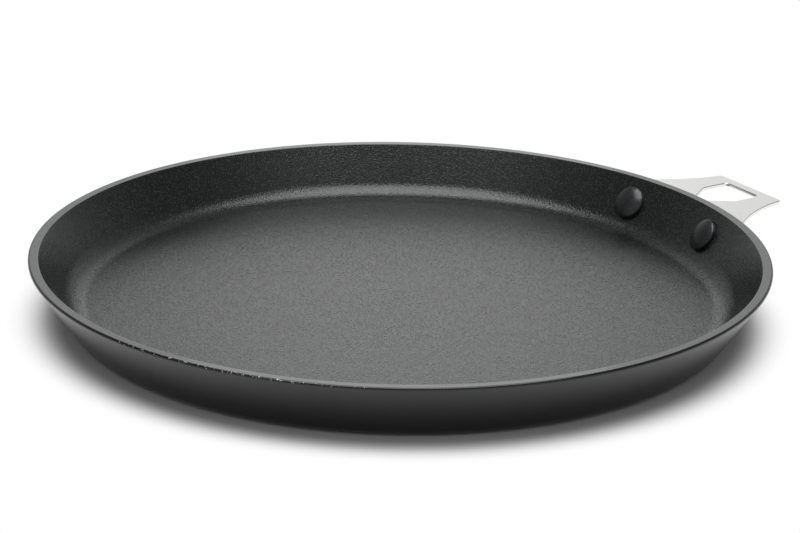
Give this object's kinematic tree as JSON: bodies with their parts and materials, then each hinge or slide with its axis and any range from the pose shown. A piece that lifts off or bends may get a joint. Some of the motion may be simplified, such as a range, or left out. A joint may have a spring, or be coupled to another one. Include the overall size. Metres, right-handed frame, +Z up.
{
  "type": "crepe pan",
  "caption": "Low round crepe pan with a flared wall, a thick non-stick base with an induction plate, and a riveted bracket for a removable handle.",
  "frame": {"origin": "centre of the base, on the surface that the pan stands on", "axes": "+Z up, +X from the centre of the pan out towards the handle bracket"},
  "size_m": [0.3325, 0.3, 0.0263],
  "materials": {
    "nonstick": "black non-stick coating with a fine speckle over cast aluminium",
    "plate_steel": "matt magnetic steel",
    "bracket_steel": "satin stainless steel",
    "rivet_coated": "black coated rivet head"
  },
  "bodies": {
    "root": {"pan_body": "nonstick", "induction_plate": "plate_steel", "handle_bracket": "bracket_steel", "rivet_left": "rivet_coated", "rivet_right": "rivet_coated"}
  },
  "joints": []
}
